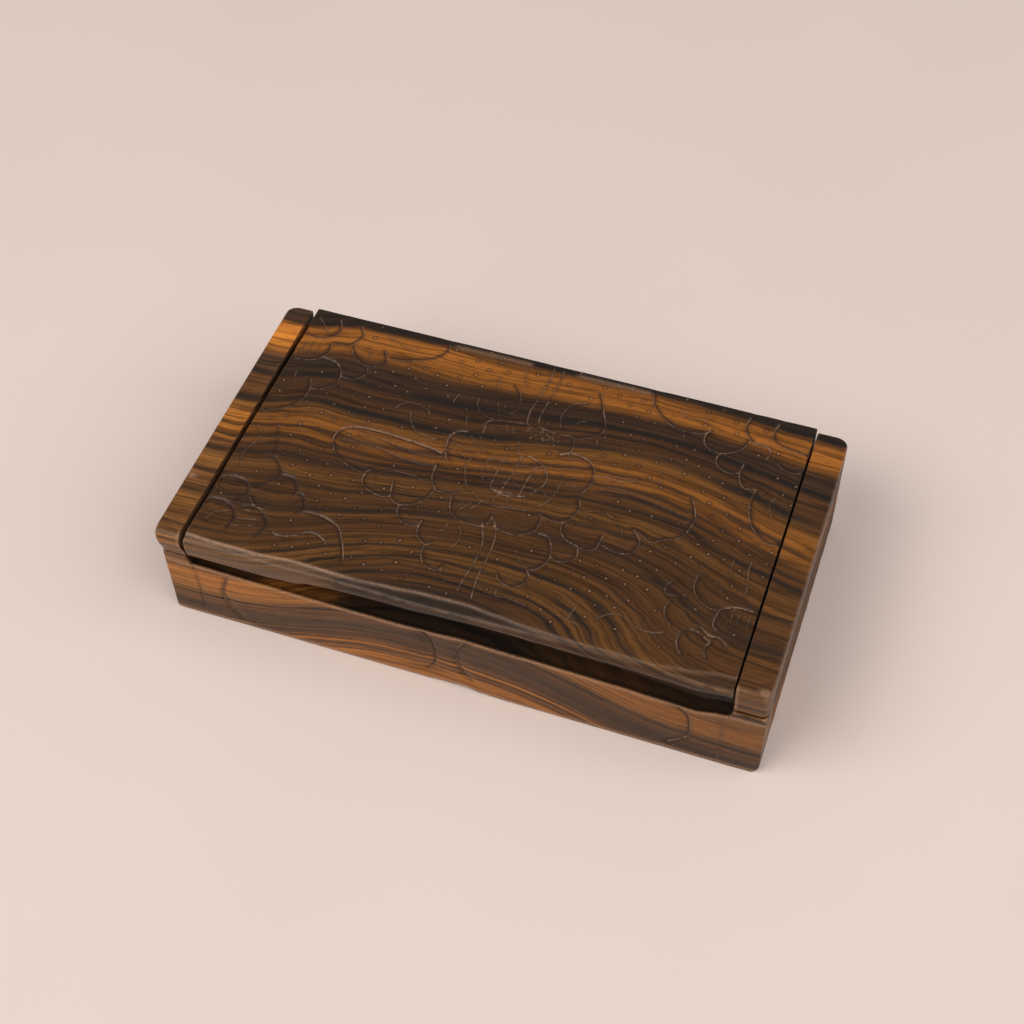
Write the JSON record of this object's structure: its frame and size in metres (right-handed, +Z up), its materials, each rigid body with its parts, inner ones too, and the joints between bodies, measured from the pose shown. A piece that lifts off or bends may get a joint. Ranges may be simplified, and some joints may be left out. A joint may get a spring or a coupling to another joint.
{
  "type": "wooden box with hinged lid",
  "caption": "Oblong carved hardwood table box with a hollowed tray, end caps and a thick flower-carved lid that swings up on hidden pins.",
  "frame": {"origin": "middle of the underside of the closed box's bounding box", "axes": "+X along the length, to the right as seen from the front, +Y from the front to the hinge side, +Z up"},
  "size_m": [0.19, 0.1036, 0.0407],
  "materials": {
    "dark_hardwood": "striped dark hardwood, hand carved, worn wax polish",
    "pin_steel": "dull steel wire"
  },
  "bodies": {
    "box": {"tray": "dark_hardwood", "left_end_cap": "dark_hardwood", "right_end_cap": "dark_hardwood", "left_hinge_pin": "pin_steel", "right_hinge_pin": "pin_steel"},
    "lid": {"lid": "dark_hardwood"}
  },
  "joints": [
    {"name": "lid_hinge", "type": "hinge", "parent": "box", "child": "lid", "pos_m": [0, 0.04605, 0.03495], "axis": [-1, 0, 0], "range_deg": [0, 93]}
  ]
}
